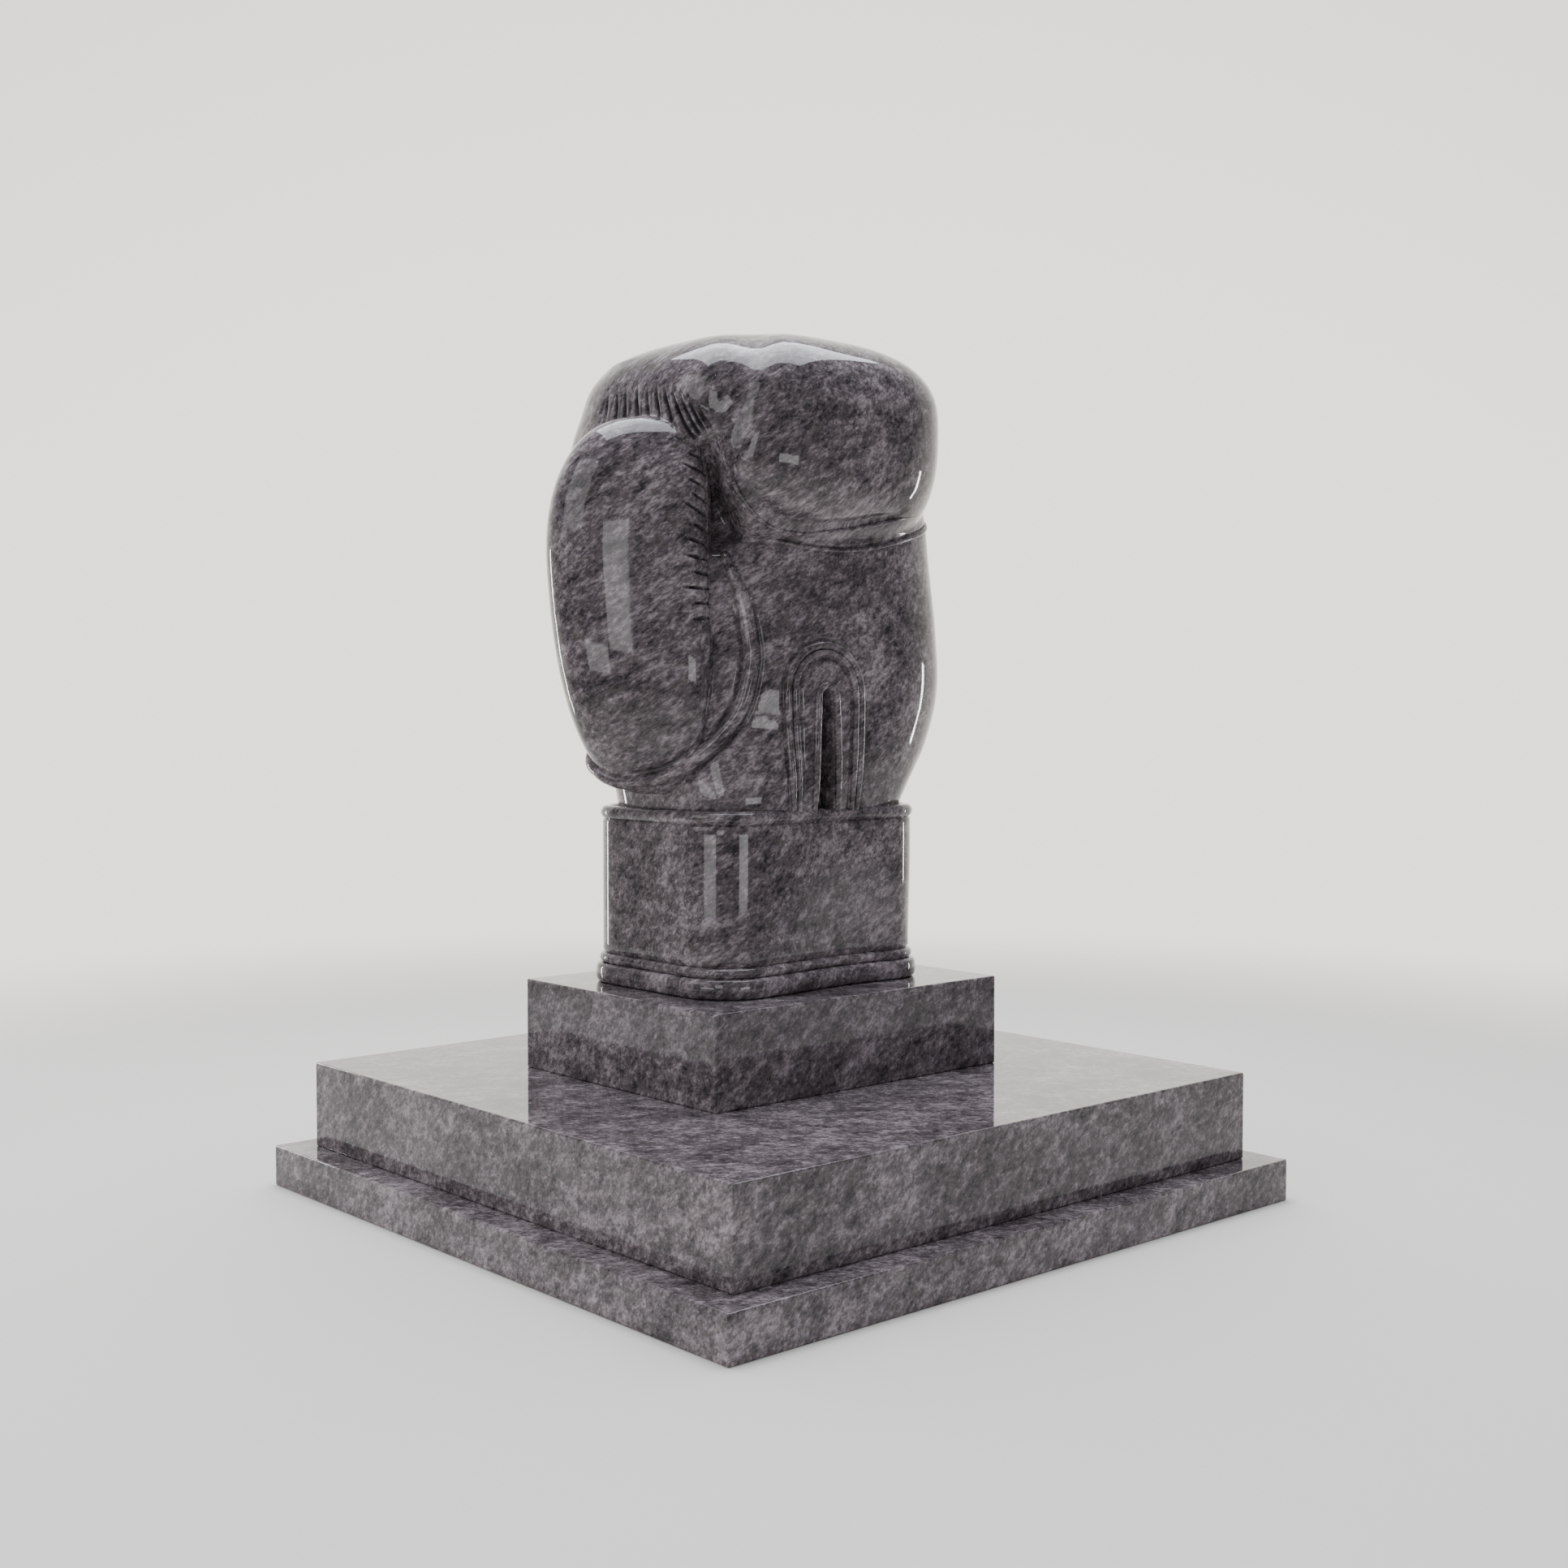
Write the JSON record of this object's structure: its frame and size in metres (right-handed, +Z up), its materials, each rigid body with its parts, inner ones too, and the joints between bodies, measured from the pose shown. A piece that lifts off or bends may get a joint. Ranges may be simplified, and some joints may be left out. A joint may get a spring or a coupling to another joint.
{
  "type": "boxing glove headstone",
  "caption": "Polished granite headstone carved as an upright left-hand boxing glove standing on its cuff, on a stepped square base.",
  "frame": {"origin": "centre of the foundation slab's underside", "axes": "+Z up; the palm of the glove faces -Y, its thumb is on the -X side and the back of the hand faces +Y"},
  "size_m": [0.915, 0.915, 1.078],
  "materials": {
    "granite": "mirror-polished dark violet-grey granite"
  },
  "bodies": {
    "root": {"foundation_slab": "granite", "base": "granite", "plinth": "granite", "glove": "granite"}
  },
  "joints": []
}
